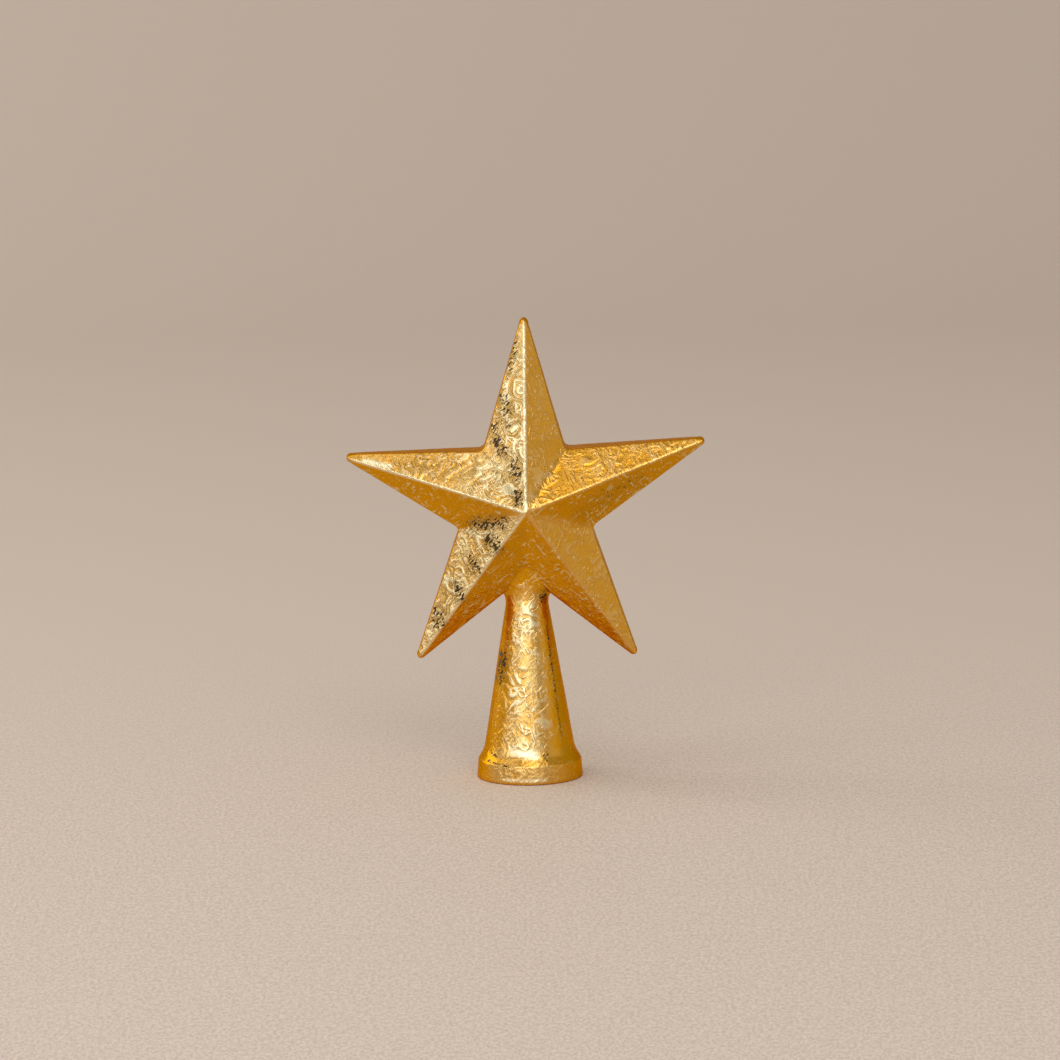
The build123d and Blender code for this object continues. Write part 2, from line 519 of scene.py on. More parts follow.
def stretch_to(piece, model):
    """Stretch a mesh along X and Z to the box of another."""
    edit(piece)
    bpy.ops.mesh.select_all(action="SELECT")
    for axis in (0, 2):
        low, high = extent(model, axis)
        now_low, now_high = extent(piece, axis)
        factors = [1, 1, 1]
        factors[axis] = (high - low) / (now_high - now_low)
        fixed = star_middle.copy()
        fixed[axis] = (now_low * factors[axis] - low) / (factors[axis] - 1)
        bpy.ops.transform.resize(value=factors, center_override=fixed)
    put_down()


stretch_to(star, blank)
print("stretched star in mm:", [round(side / MM, 1) for side in star.dimensions])

# %% [markdown]
# ## Nodes in code
# The leaf's pattern is built from nodes. Adding and linking each by hand takes many lines, so these
# helpers add one node each and feed it with values or with other nodes' outputs. They use only nodes
# that a geometry tree and a material both have, so one recipe can serve in both.

# %% Helpers for nodes


def feed(tree, node, socket, value):
    """Feed an input with another node's output or with a plain value."""
    if isinstance(value, bpy.types.NodeSocket):
        tree.links.new(value, node.inputs[socket])
    else:
        node.inputs[socket].default_value = value


def operate(tree, kind, operation, values):
    """A Math or Vector Math node with the values as its inputs."""
    node = tree.nodes.new(kind)
    node.operation = operation
    for socket, value in enumerate(values):
        feed(tree, node, socket, value)
    return node


def calculate(tree, operation, *values):
    """The result of a Math node."""
    return operate(tree, "ShaderNodeMath", operation, values).outputs[0]


def times(tree, first, second):
    """The product of two numbers."""
    return calculate(tree, "MULTIPLY", first, second)


def larger(tree, first, second):
    """The larger of two numbers."""
    return calculate(tree, "MAXIMUM", first, second)


def between(tree, share, first, second):
    """A number that goes from the first to the second as the share goes from 0 to 1."""
    step = calculate(tree, "SUBTRACT", second, first)
    return calculate(tree, "ADD", first, times(tree, share, step))


def vector_math(tree, operation, *values):
    """The result of a Vector Math node."""
    return operate(tree, "ShaderNodeVectorMath", operation, values).outputs[0]


def noise(tree, place, size, detail=1.0, distortion=0.0):
    """A noise between 0 and 1 whose lumps are about one size across."""
    node = tree.nodes.new("ShaderNodeTexNoise")
    feed(tree, node, "Vector", place)
    feed(tree, node, "Scale", 1 / size)
    feed(tree, node, "Detail", detail)
    feed(tree, node, "Distortion", distortion)
    return node.outputs[0]


def ramp(tree, value, low, high, start=0.0, end=1.0):
    """A soft step from start to end as the value goes from low to high."""
    node = tree.nodes.new("ShaderNodeMapRange")
    node.interpolation_type = "SMOOTHSTEP"
    feed(tree, node, "Value", value)
    feed(tree, node, "From Min", low)
    feed(tree, node, "From Max", high)
    feed(tree, node, "To Min", start)
    feed(tree, node, "To Max", end)
    return node.outputs[0]


def stretched(tree, place, turn, sizes):
    """A place turned and squeezed, so that a noise on it draws strokes instead of lumps."""
    node = tree.nodes.new("ShaderNodeVectorRotate")
    node.rotation_type = "EULER_XYZ"
    feed(tree, node, "Vector", place)
    feed(tree, node, "Rotation", turn)
    return vector_math(tree, "MULTIPLY", node.outputs[0], sizes)


print("node helpers are ready")

# %% [markdown]
# ## One recipe for the wrinkles
# Metal leaf crumples as it is laid: it leaves raised lines that wander and close into loops, large
# and small, and short diagonal strokes. Lines like the loops are contours of a noise, the way that
# contour lines on a map wander round hills. Each kind comes in patches, because leaf never crumples
# evenly. The fixed steps only keep two noises from repeating each other.

# %% Recipe for the wrinkles
LOOP_SIZES = (7.0 * MM, 4.0 * MM)
LOOP_PATCHES = (0.40, 0.50)
LOOP_COUNT = 4.5
LOOP_DETAIL = 0.5
LOOP_WARP = 0.7
LOOP_PATCH_SIZE = 1.6
LOOP_PATCH_EDGE = 0.15
LOOP_LEAST = 0.1
LOOP_STEP = (0.3, 0.1, 0.7)
STROKE_SIZE = 0.95 * MM
STROKE_SQUEEZE = Vector((0.16, 0.6, 1.0))
STROKE_RAMP = (0.58, 0.7)
STROKE_SOFTENING = 0.1
STROKE_PATCH_SIZE = 7 * MM
STROKE_PATCH_RAMP = (0.38, 0.58)
# For each direction of strokes: its turn, and the fixed steps of the strokes and of their patches.
STROKE_DIRECTIONS = (
    (Vector((0.0, math.radians(40), 0.0)), (0.0, 0.4, 0.1), (0.5, 0.0, 0.9)),
    (Vector((0.0, math.radians(-62), math.radians(25))), (0.2, 0.4, 0.1), (0.5, 0.2, 0.9)),
)
CREST_RAMP = (0.35, 1.0)


def shifted(tree, place, step):
    """A place moved by a fixed step."""
    return vector_math(tree, "ADD", place, step)


def loops(tree, place, layer, low, high):
    """Lines that wander and close into loops, where a wave is between two heights."""
    size = LOOP_SIZES[layer]
    start = LOOP_PATCHES[layer]
    hills = noise(tree, place, size, detail=LOOP_DETAIL, distortion=LOOP_WARP)
    wave = calculate(tree, "SINE", times(tree, hills, 2 * math.pi * LOOP_COUNT))
    lines = ramp(tree, wave, low, high)
    patches = noise(tree, shifted(tree, place, LOOP_STEP), LOOP_PATCH_SIZE * size)
    patch = ramp(tree, patches, start, start + LOOP_PATCH_EDGE, LOOP_LEAST, 1.0)
    return times(tree, lines, patch)


def strokes(tree, place, softness):
    """Short raised strokes in two directions, each in patches of its own."""
    low, high = STROKE_RAMP
    total = 0.0
    for turn, step, patch_step in STROKE_DIRECTIONS:
        lane = stretched(tree, shifted(tree, place, step), turn, STROKE_SQUEEZE)
        line = ramp(tree, noise(tree, lane, STROKE_SIZE), low - STROKE_SOFTENING * softness, high)
        patches = noise(tree, shifted(tree, place, patch_step), STROKE_PATCH_SIZE)
        patch = ramp(tree, patches, *STROKE_PATCH_RAMP)
        total = larger(tree, total, times(tree, line, patch))
    return total


def wrinkles(tree, place, softness):
    """Height of the leaf between 0 and 1: loops and strokes over a plain sheet."""
    low, high = CREST_RAMP
    height = strokes(tree, place, softness)
    for layer in range(len(LOOP_SIZES)):
        height = larger(tree, height, loops(tree, place, layer, low - softness, high))
    return height


print("sizes of the loops in mm:", [round(size / MM, 1) for size in LOOP_SIZES])

# %% [markdown]
# ## Which faces get the painted sheen
# The gold is painted pale as a sheen, standing in for the reflection of the lamps, on faces that look
# up and to the left, towards the front or the back. There the wrinkles also stand out more. The
# limits say from which direction to which each of the three shares rises.

# %% Share of painted sheen
# The sheen stands in for the lamps' reflection; it is painted pale on faces that look up and left.
STAR_SHEEN_LIMITS = {
    "up": (-0.3, 0.0),
    "left": (0.12, -0.12),
    "front": (0.5, 0.85),
    "least": 0.0,
    "most": 0.9,
}
AWAY_SIDE_SHEEN = 0.15


def sheen_facing_share(tree, normal, limits):
    """How far a face gets the painted sheen, from the way that it looks."""
    parts = tree.nodes.new("ShaderNodeSeparateXYZ")
    feed(tree, parts, 0, normal)
    upwards = ramp(tree, parts.outputs["Z"], *limits["up"])
    leftwards = ramp(tree, parts.outputs["X"], *limits["left"], AWAY_SIDE_SHEEN, limits["most"])
    depth = calculate(tree, "ABSOLUTE", parts.outputs["Y"])
    frontwards = ramp(tree, depth, *limits["front"], limits["least"], 1.0)
    return times(tree, times(tree, upwards, leftwards), frontwards)


print("the star is rubbed up to", STAR_SHEEN_LIMITS["most"])

# %% [markdown]
# ## Pressing the wrinkles into the mesh
# A Geometry Nodes tree moves every point of the mesh along its normal, by the recipe's height plus a
# slow unevenness of the casting below. A displacement texture could do it too, but a tree can share
# the recipe with the finish, so that colour and relief agree. Only points in a named group move, so
# the hidden inner walls stay true, and all of it goes inwards, so no piece grows past its solid.

# %% Relief in the mesh
WRINKLE_DEPTH = 0.16 * MM
UNEVEN_DEPTH = 0.16 * MM
UNEVEN_SIZE = 17 * MM
RELIEF_ON_PLAIN = 0.3
RELIEF_ON_SHEEN_FACES = 0.75
LEAFED = "leafed"


def relief_height(tree, place, normal):
    """How far a leafed point moves along its normal, which is never outwards."""
    # The share of painted sheen also sets how deep the relief is pressed.
    painted_sheen = sheen_facing_share(tree, normal, STAR_SHEEN_LIMITS)
    strength = calculate(tree, "MULTIPLY_ADD", painted_sheen, RELIEF_ON_SHEEN_FACES, RELIEF_ON_PLAIN)
    height = times(tree, wrinkles(tree, place, softness=1), strength)
    wrinkle_rise = times(tree, calculate(tree, "SUBTRACT", height, 1.0), WRINKLE_DEPTH)
    sag = times(tree, noise(tree, place, UNEVEN_SIZE), -UNEVEN_DEPTH)
    return calculate(tree, "ADD", wrinkle_rise, sag)


def relief_tree():
    """A geometry tree that lays the wrinkles on the points of the leafed group."""
    tree = bpy.data.node_groups.new("leaf_relief", "GeometryNodeTree")
    tree.interface.new_socket("Geometry", in_out="INPUT", socket_type="NodeSocketGeometry")
    tree.interface.new_socket("Geometry", in_out="OUTPUT", socket_type="NodeSocketGeometry")
    source = tree.nodes.new("NodeGroupInput")
    result = tree.nodes.new("NodeGroupOutput")
    place = tree.nodes.new("GeometryNodeInputPosition").outputs[0]
    normal = tree.nodes.new("GeometryNodeInputNormal").outputs[0]
    group = tree.nodes.new("GeometryNodeInputNamedAttribute")
    group.data_type = "FLOAT"
    group.inputs["Name"].default_value = LEAFED
    rise = times(tree, relief_height(tree, place, normal), group.outputs["Attribute"])
    scale = operate(tree, "ShaderNodeVectorMath", "SCALE", [normal])
    feed(tree, scale, "Scale", rise)
    move = tree.nodes.new("GeometryNodeSetPosition")
    feed(tree, move, "Geometry", source.outputs[0])
    feed(tree, move, "Offset", scale.outputs[0])
    feed(tree, result, 0, move.outputs[0])
    return tree


leaf_relief = relief_tree()


def lay_leaf(piece, leafed):
    """Press the wrinkles into the points of a piece that pass a test."""
    group = piece.vertex_groups.new(name=LEAFED)
    points = [corner.index for corner in piece.data.vertices if leafed(corner.co)]
    group.add(points, 1.0, "REPLACE")
    apply_modifier(piece, "NODES", node_group=leaf_relief)
    take(piece)
    bpy.ops.object.shade_smooth()
    put_down()


lay_leaf(star, lambda place: True)
print("leafed star in mm:", [round(side / MM, 1) for side in star.dimensions])

# %% [markdown]
# ## Two halves
# The star is cast in two halves that meet on the middle plane of the rim. Each is a copy of the whole
# star, cut by bisect. One face closes the cut, and poking it makes a fan of triangles from its
# middle, which closes even an outline of a thousand points without a gap. So both faces of the seam
# lie flush.

# %% Split into front and back
SEAM_TOLERANCE = 0.001 * MM


def half_of(piece, name, keep_front):
    """One half of a piece, cut on the plane y = 0."""
    half = copy_of(piece, name)
    edit(half)
    bpy.ops.mesh.select_all(action="SELECT")
    bpy.ops.mesh.bisect(
        plane_co=(0, 0, 0),
        plane_no=(0, 1, 0),
        clear_outer=keep_front,
        clear_inner=not keep_front,
        threshold=SEAM_TOLERANCE,
    )
    bpy.ops.mesh.edge_face_add()
    pick("FACE", lambda place: abs(place.y) < SEAM_TOLERANCE)
    bpy.ops.mesh.poke(center_mode="MEDIAN")
    face_outwards()
    put_down()
    return half


star_front = half_of(star, "leafed_star_front", keep_front=True)
star_back = half_of(star, "leafed_star_back", keep_front=False)
throw_away(star)
for half in (star_front, star_back):
    print(half.name, len(half.data.polygons), "faces")

# %% [markdown]
# ## Turned pieces
# The stem and the collar are round, so each is one ring of points that is extruded and resized from
# one step of its profile to the next, the way a potter raises a wall. Spinning a profile would do it
# too, but this way needs no seam between the first and the last turn. The outside steps are close
# together for the leaf's relief, and the inside ones are far apart. The last ring meets the first,
# and the two are merged.

# %% Helpers for turning
SIDES = 240
STEP = 0.42 * MM


def along(start, end):
    """Even points from one (radius, height) point towards another, without the last."""
    count = max(1, round((Vector(end) - Vector(start)).length / STEP))
    return [Vector(start).lerp(Vector(end), number / count) for number in range(count)]


def ring(name, sides, radius, height):
    """A ring of points round the axis, all selected, left in edit mode."""
    put_down()
    bpy.ops.mesh.primitive_circle_add(vertices=sides, radius=radius, location=(0, 0, height))
    piece = named(bpy.context.object, name)
    bpy.ops.object.transform_apply(location=True, rotation=True, scale=True)
    edit(piece)
    bpy.ops.mesh.select_mode(type="EDGE")
    bpy.ops.mesh.select_all(action="SELECT")
    return piece


def raise_wall(growth, before, after):
    """Extrude the selected ring from one height to another and resize it."""
    bpy.ops.mesh.extrude_region_move(TRANSFORM_OT_translate={"value": (0, 0, after - before)})
    bpy.ops.transform.resize(value=growth, center_override=(0, 0, after))


def turned(name, profile):
    """A ring-shaped piece from a closed profile of (radius, height) points."""
    piece = ring(name, SIDES, *profile[0])
    for before, after in zip(profile, profile[1:] + profile[:1]):
        growth = after[0] / before[0]
        raise_wall((growth, growth, 1), before[1], after[1])
    bpy.ops.mesh.select_all(action="SELECT")
    bpy.ops.mesh.remove_doubles(threshold=HAIR)
    face_outwards()
    put_down()
    return piece


print("sides of a turned piece:", SIDES)

# %% [markdown]
# ## The stem
# The stem is a hollow cone with a spigot at its foot for the collar and a solid seat for the tube at
# its top. The star's blank is taken away from it, which leaves the saddle that sits under the two
# lower rays. The top that the bead hides stays plain, so that this cut is clean.

# %% Turn the stem
COLLAR_HEIGHT = 11.2 * MM
COLLAR_LEDGE = 1.8 * MM
STEM_FOOT_RADIUS = 17.9 * MM
SPIGOT_RADIUS = 16.6 * MM
MOUTH_RADIUS = 14.6 * MM
NECK_RADIUS = 6.5 * MM
NOTCH_HEIGHT = STAR_CENTRE - NOTCH_CIRCLE
SEAT_BOTTOM = NOTCH_HEIGHT - 18.0 * MM
TUBE_HOLE_RADIUS = 4.55 * MM
STEM_WALL = 2.4 * MM
HIDDEN_TOP = 4.0 * MM
SKIN = 0.1 * MM


def stem_radius(height):
    """Radius of the stem's straight taper at a height."""
    share = (height - COLLAR_HEIGHT) / (NOTCH_HEIGHT - COLLAR_HEIGHT)
    return STEM_FOOT_RADIUS + (NECK_RADIUS - STEM_FOOT_RADIUS) * share


def on_stem_outside(place):
    """True on the tapered outside of the stem, between the collar and the part inside the bead."""
    in_view = COLLAR_HEIGHT - HAIR < place.z < NOTCH_HEIGHT - HIDDEN_TOP
    return in_view and math.hypot(place.x, place.y) > stem_radius(place.z) - SKIN


stem_profile = [
    (MOUTH_RADIUS, COLLAR_LEDGE),
    (SPIGOT_RADIUS, COLLAR_LEDGE),
    (SPIGOT_RADIUS, COLLAR_HEIGHT),
    *along((STEM_FOOT_RADIUS, COLLAR_HEIGHT), (NECK_RADIUS, NOTCH_HEIGHT)),
    (NECK_RADIUS, NOTCH_HEIGHT),
    (TUBE_HOLE_RADIUS, NOTCH_HEIGHT),
    (TUBE_HOLE_RADIUS, SEAT_BOTTOM),
    (stem_radius(SEAT_BOTTOM) - STEM_WALL, SEAT_BOTTOM),
    (MOUTH_RADIUS, COLLAR_HEIGHT),
]
stem = turned("leafed_stem", stem_profile)
lay_leaf(stem, on_stem_outside)
apply_modifier(stem, "BOOLEAN", operation="DIFFERENCE", object=blank, solver="EXACT")
print("stem:", len(stem.data.polygons), "faces")

# %% [markdown]
# ## The collar
# The collar is the ring that the object stands on: a side that leans in a little, so that the casting
# leaves its mould, a shoulder, and a thin lip of filler that runs out on the stem. Its corners are
# soft. The lip's top edge is sunk a trifle below the stem's surface, so that no line shows, and its
# root lies deeper than the relief of the leaf.

# %% Turn the collar
COLLAR_RADIUS = 20.35 * MM
COLLAR_FOOT_RADIUS = 20.9 * MM
COLLAR_SIDE_HEIGHT = 7.2 * MM
COLLAR_EDGE_ROUND = 2.0 * MM
COLLAR_FOOT_ROUND = 1.2 * MM
COLLAR_BORE = 16.65 * MM
LEDGE_TOP = 1.6 * MM
LIP_TOP = 15.0 * MM
LIP_SINK = 0.06 * MM
LIP_ROOT = 0.5 * MM
LIP_START = 0.62
CORNER_STEPS = 6
LIP_STEPS = 14
BARE_FOOT = 0.5 * MM


def rounded(before, corner, after, count=CORNER_STEPS):
    """Points of a soft corner between two places, as a quadratic curve."""
    points = []
    for number in range(count + 1):
        share = number / count
        points.append(before.lerp(corner, share).lerp(corner.lerp(after, share), share))
    return points


def on_collar_outside(place):
    """True on the collar's outside above its foot, up to the lip."""
    outside = stem_radius(max(place.z, COLLAR_HEIGHT)) - 2 * LIP_SINK
    return place.z > BARE_FOOT and math.hypot(place.x, place.y) > outside


side_top = Vector((COLLAR_RADIUS, COLLAR_SIDE_HEIGHT))
lip_corner = Vector((STEM_FOOT_RADIUS, COLLAR_HEIGHT))
shoulder = (lip_corner - side_top).normalized()
edge_cut = COLLAR_EDGE_ROUND * math.tan(math.acos(shoulder.y) / 2)
foot_corner = Vector((COLLAR_FOOT_RADIUS, 0))
foot_start = foot_corner - Vector((COLLAR_FOOT_ROUND, 0))
foot_end = foot_corner.lerp(side_top, COLLAR_FOOT_ROUND / COLLAR_SIDE_HEIGHT)
edge_start = side_top.lerp(foot_corner, edge_cut / COLLAR_SIDE_HEIGHT)
edge_end = side_top + shoulder * edge_cut
lip_start = side_top.lerp(lip_corner, LIP_START)
lip_end = Vector((stem_radius(LIP_TOP) - LIP_SINK, LIP_TOP))
collar_profile = [
    (MOUTH_RADIUS, 0),
    *rounded(foot_start, foot_corner, foot_end),
    *along(foot_end, edge_start)[1:],
    *rounded(edge_start, side_top, edge_end),
    *along(edge_end, lip_start)[1:],
    *rounded(lip_start, lip_corner, lip_end, LIP_STEPS),
    (stem_radius(LIP_TOP) - LIP_ROOT, LIP_TOP),
    (STEM_FOOT_RADIUS - LIP_ROOT, COLLAR_HEIGHT),
    (COLLAR_BORE, COLLAR_HEIGHT),
    (COLLAR_BORE, LEDGE_TOP),
    (MOUTH_RADIUS, LEDGE_TOP),
]
collar = turned("leafed_collar", collar_profile)
lay_leaf(collar, on_collar_outside)
print("collar:", len(collar.data.polygons), "faces")

# %% [markdown]
# ## The bead in the neck
# Filler hides the joint under the two lower rays and sweeps from the stem into the star. It starts as
# four rings, each extruded from the one before. The lowest is tucked into the stem. The second is the
# waist, which follows the stem and climbs towards the front and the back. A Shrinkwrap throws the two
# widest straight up onto the star's underside, and the last is sunk into it.

# %% Lay the bead's rings
BEAD_SIDES = 48
BEAD_BOTTOM = NOTCH_HEIGHT - 15.0 * MM
BEAD_WAIST = NOTCH_HEIGHT - 10.5 * MM
BEAD_TUCK = 0.25 * MM
WAIST_CLEAR = 0.15 * MM
WAIST_RISE = 4.5 * MM
BEAD_SPREADS = (Vector((9.4, 8.8)) * MM, Vector((10.8, 9.8)) * MM)
BEAD_SINK = 0.8 * MM
ON_STAR = "on_star"

bottom_radius = stem_radius(BEAD_BOTTOM) - BEAD_TUCK
waist_radius = stem_radius(BEAD_WAIST) + WAIST_CLEAR
bead_rings = [
    (Vector((bottom_radius, bottom_radius)), BEAD_BOTTOM),
    (Vector((waist_radius, waist_radius)), BEAD_WAIST),
    *[(spread, BEAD_WAIST) for spread in BEAD_SPREADS],
]
bead = ring("leafed_neck_bead", BEAD_SIDES, bottom_radius, BEAD_BOTTOM)
for before, after in zip(bead_rings, bead_rings[1:]):
    growth = (after[0].x / before[0].x, after[0].y / before[0].y, 1)
    raise_wall(growth, before[1], after[1])
put_down()
# The rings follow each other in the mesh, so their points are found by number.
for corner in bead.data.vertices[BEAD_SIDES : 2 * BEAD_SIDES]:
    towards_front = abs(corner.co.y) / waist_radius
    corner.co.z += WAIST_RISE * towards_front**2
    corner.co.xy *= (stem_radius(corner.co.z) + WAIST_CLEAR) / waist_radius
star_rings = bead.vertex_groups.new(name=ON_STAR)
star_rings.add(list(range(2 * BEAD_SIDES, 4 * BEAD_SIDES)), 1.0, "REPLACE")
apply_modifier(
    bead,
    "SHRINKWRAP",
    target=blank,
    wrap_method="PROJECT",
    use_project_z=True,
    use_negative_direction=False,
    use_positive_direction=True,
    vertex_group=ON_STAR,
)
for corner in bead.data.vertices[3 * BEAD_SIDES :]:
    corner.co.z += BEAD_SINK
print("points of the bead's rings:", len(bead.data.vertices))

# %% [markdown]
# ## A smooth skin of filler
# Subdivision rounds what lies between the rings, which is how a finger would draw the filler out.
# Solidify gives the skin a thickness inwards, and the leaf goes over all of it.

# %% Round and leaf the bead
BEAD_LEVELS = 3
BEAD_WALL = 0.5 * MM

apply_modifier(bead, "SUBSURF", levels=BEAD_LEVELS, render_levels=BEAD_LEVELS)
apply_modifier(bead, "SOLIDIFY", thickness=BEAD_WALL, offset=-1.0)
edit(bead)
face_outwards()
put_down()
lay_leaf(bead, lambda place: True)
throw_away(blank)
print("bead:", len(bead.data.polygons), "faces")

# %% [markdown]
# ## Marks on the front
# In some places the leaf tore or wore through and shows the dark ground, and in two runs the same
# brown and dashes are painted shade in the crevice above the collar. In a few places a highlight is
# painted on. Such marks follow no rule of the shape, so they are written down one by one, as short
# straight runs on the front. Round one place, up and left of the star's point, the painted pale sheen
# also reaches faces that look up.
# Each mark becomes a number from 0 to 1 that fades out with the distance.

# %% Runs of torn leaf, painted shade and painted highlight
# Each run has a start and an end as (x, height), and a reach, in millimetres, and a strength.
TORN_AND_SHADE_RUNS = [
    ((-3, 173), (-6, 161), 3.5, 1.0),
    ((-8, 150), (-7, 145), 5.0, 1.0),
    ((-10, 141), (-6, 140), 3.2, 0.9),
    ((-12, 138), (-9, 130), 5.5, 1.0),
    ((-4, 126), (-3, 121), 4.5, 1.0),
    ((-3, 115), (-3, 111), 4.5, 1.0),
    ((-46, 126), (-32, 125), 7.0, 0.45),
    ((22, 105), (44, 117), 8.0, 0.45),
    ((-20, 101), (-9, 103), 6.0, 1.0),
    ((-14, 97), (-12, 93), 6.5, 1.0),
    ((-21, 88), (-20, 84), 5.0, 1.0),
    ((-27, 77), (-26, 73), 4.5, 1.0),
    ((-35, 66), (-34, 62), 5.0, 1.0),
    ((6, 73), (6, 71), 3.5, 1.0),
    ((7.4, 60), (12.4, 18), 0.65, 0.85),
    ((-10, 48), (-11, 40), 5.0, 1.0),
    # These two runs paint shade in the crevice above the collar's lip, as brown and dark dashes.
    ((-16, 8), (-8, 7), 1.1, 0.9),
    ((-15, 11), (-13, 10), 2.0, 0.9),
    ((6, 11), (6, 10), 2.2, 1.0),
]
# Painted highlights: a streak near the left tip, a spot at the stem's foot, a line low on the collar.
HIGHLIGHT_RUNS = [
    ((-62, 126), (-52, 124), 1.7, 0.9),
    ((-6, 12.5), (2, 11.5), 3.0, 0.9),
    ((-10, 1.9), (6, 1.9), 1.2, 0.6),
]
FRONT_FADE = 5 * MM
# Round this place the painted sheen also reaches faces that look up.
SHEEN_PATCH_MIDDLE = Vector((-14, 120)) * MM
SHEEN_PATCH_REACH = 34 * MM


def near_run(place, run):
    """Nearness to one run, times its strength."""
    start, end, reach, strength = run
    start = Vector(start) * MM
    end = Vector(end) * MM
    share = intersect_point_line(place.xz, start, end)[1]
    nearest = start.lerp(end, min(max(share, 0.0), 1.0))
    return strength * fade((place.xz - nearest).length, reach * MM)


def nearest_of(place, runs):
    """Nearness to the nearest of several runs, on the front only."""
    if place.y > 0:
        return 0.0
    return (1 - fade(-place.y, FRONT_FADE)) * max(near_run(place, run) for run in runs)


def torn_and_shade_nearness(place):
    """Nearness to the torn runs, two of which paint shade in the crevice above the collar."""
    return nearest_of(place, TORN_AND_SHADE_RUNS)


def highlight_nearness(place):
    """Nearness to the runs of painted highlight."""
    return nearest_of(place, HIGHLIGHT_RUNS)


def sheen_patch_nearness(place):
    """Nearness to the patch on the front where the painted sheen also reaches faces that look up."""
    if place.y > 0:
        return 0.0
    return fade((place.xz - SHEEN_PATCH_MIDDLE).length, SHEEN_PATCH_REACH)


print("runs:", len(TORN_AND_SHADE_RUNS), "torn,", len(HIGHLIGHT_RUNS), "bright")

# %% [markdown]
# ## Ridges, valleys and tips
# Other marks follow the shape. A pale highlight is painted along the ridges, on some rays more than
# on others. In the valleys the painted sheen of one facet runs on into the next. At the very tips the
# leaf is thick and stays plain deep gold, without painted sheen. Rays and valleys are counted
# clockwise from the top.

# %% Painted highlight and sheen that follow the shape
RIDGE_HALF_WIDTH = 1.0 * MM
# How strongly a highlight is painted along each ray's ridge.
RIDGE_HIGHLIGHT = (1.0, 0.2, 0.15, 0.7, 0.8)
# How far each valley evens out the painted sheen.
VALLEY_SHEEN_BLEND = (0.8, 0.3, 0.0, 0.4, 0.0)
PLAIN_TIP = 4.0 * MM


def nearest_ray(place):
    """The number of the nearest ray, and the place and the ray's tip from the star's middle."""
    offset = Vector((place.x, place.z - STAR_CENTRE))
    ray = round(math.atan2(offset.x, offset.y) / (2 * half_turn)) % RAYS
    return ray, offset, tip_offset(ray).xz


def ridge_highlight(place):
    """Painted highlight along the ridges, which run from the star's middle to the tips, or on a run
    of painted highlight.
    """
    ray, offset, tip = nearest_ray(place)
    distance = abs(offset.cross(tip.normalized()))
    return max(RIDGE_HIGHLIGHT[ray] * fade(distance, RIDGE_HALF_WIDTH), highlight_nearness(place))


def valley_sheen_blend(place):
    """Nearness to the valleys, where the painted sheen is evened out."""
    number, nearness = nearest_valley(place)
    return VALLEY_SHEEN_BLEND[number] * nearness


def tip_plainness(place):
    """Nearness to the tips."""
    ray, offset, tip = nearest_ray(place)
    return fade((tip - offset).length, PLAIN_TIP)


print("ridges most highlighted on ray", RIDGE_HIGHLIGHT.index(max(RIDGE_HIGHLIGHT)))

# %% [markdown]
# ## Wear, painted light and shade on the meshes
# The torn leaf, the painted highlight and shade, and the shares for the painted sheen are written on
# the points of the meshes as numbers with a name, which a finish reads with an Attribute node. It
# could be painted by hand in vertex paint, but written as formulas it stays right when the mesh
# changes.

# %% Write the wear, the painted light and the painted shade


def write_on(piece, name, formula):
    """Write a number on every point of a piece, for its finish to read."""
    layer = piece.data.attributes.new(name, "FLOAT", "POINT")
    layer.data.foreach_set("value", [formula(corner.co) for corner in piece.data.vertices])


for half in (star_front, star_back):
    write_on(half, "painted_highlight", ridge_highlight)
    write_on(half, "plain", tip_plainness)
    write_on(half, "valley", valley_sheen_blend)
write_on(star_front, "sheen_patch", sheen_patch_nearness)
for piece in (star_front, stem, collar, bead):
    write_on(piece, "torn_and_shade", torn_and_shade_nearness)
for piece in (collar, stem):
    write_on(piece, "painted_highlight", highlight_nearness)
print("written on the front half:", [layer.name for layer in star_front.data.attributes][-5:])

# %% [markdown]
# ## The leaf's surface, as one group
# Star, stem, bead and collar share the pattern of the leaf, so it is one shader group that each
# finish holds. Beside the recipe's wrinkles it gives the grooves between the large loops, where brown
# shade is painted, fine scratches along one diagonal, a grain that breaks up every reflection, a
# noise that decides where torn leaf and painted crevice shade show dashes of the ground, and slow
# changes of tone.

# %% Group of the leaf's surface
GROOVE_RAMP = (-0.2, -0.95)
GRAIN_SIZE = 0.5 * MM
DIAGONAL = Vector((0, math.radians(45), 0))
DASH_SIZE = 0.8 * MM
DASH_SQUEEZE = Vector((0.45, 0.75, 1.0))
SCRATCH_SIZE = 0.6 * MM
SCRATCH_SQUEEZE = Vector((0.15, 0.7, 1.0))
SCRATCH_WARP = 0.4
SCRATCH_RAMP = (0.54, 0.64)
LINE_DETAIL = 0.5
TONE_SIZE = 9 * MM
TONE_DETAIL = 3.0


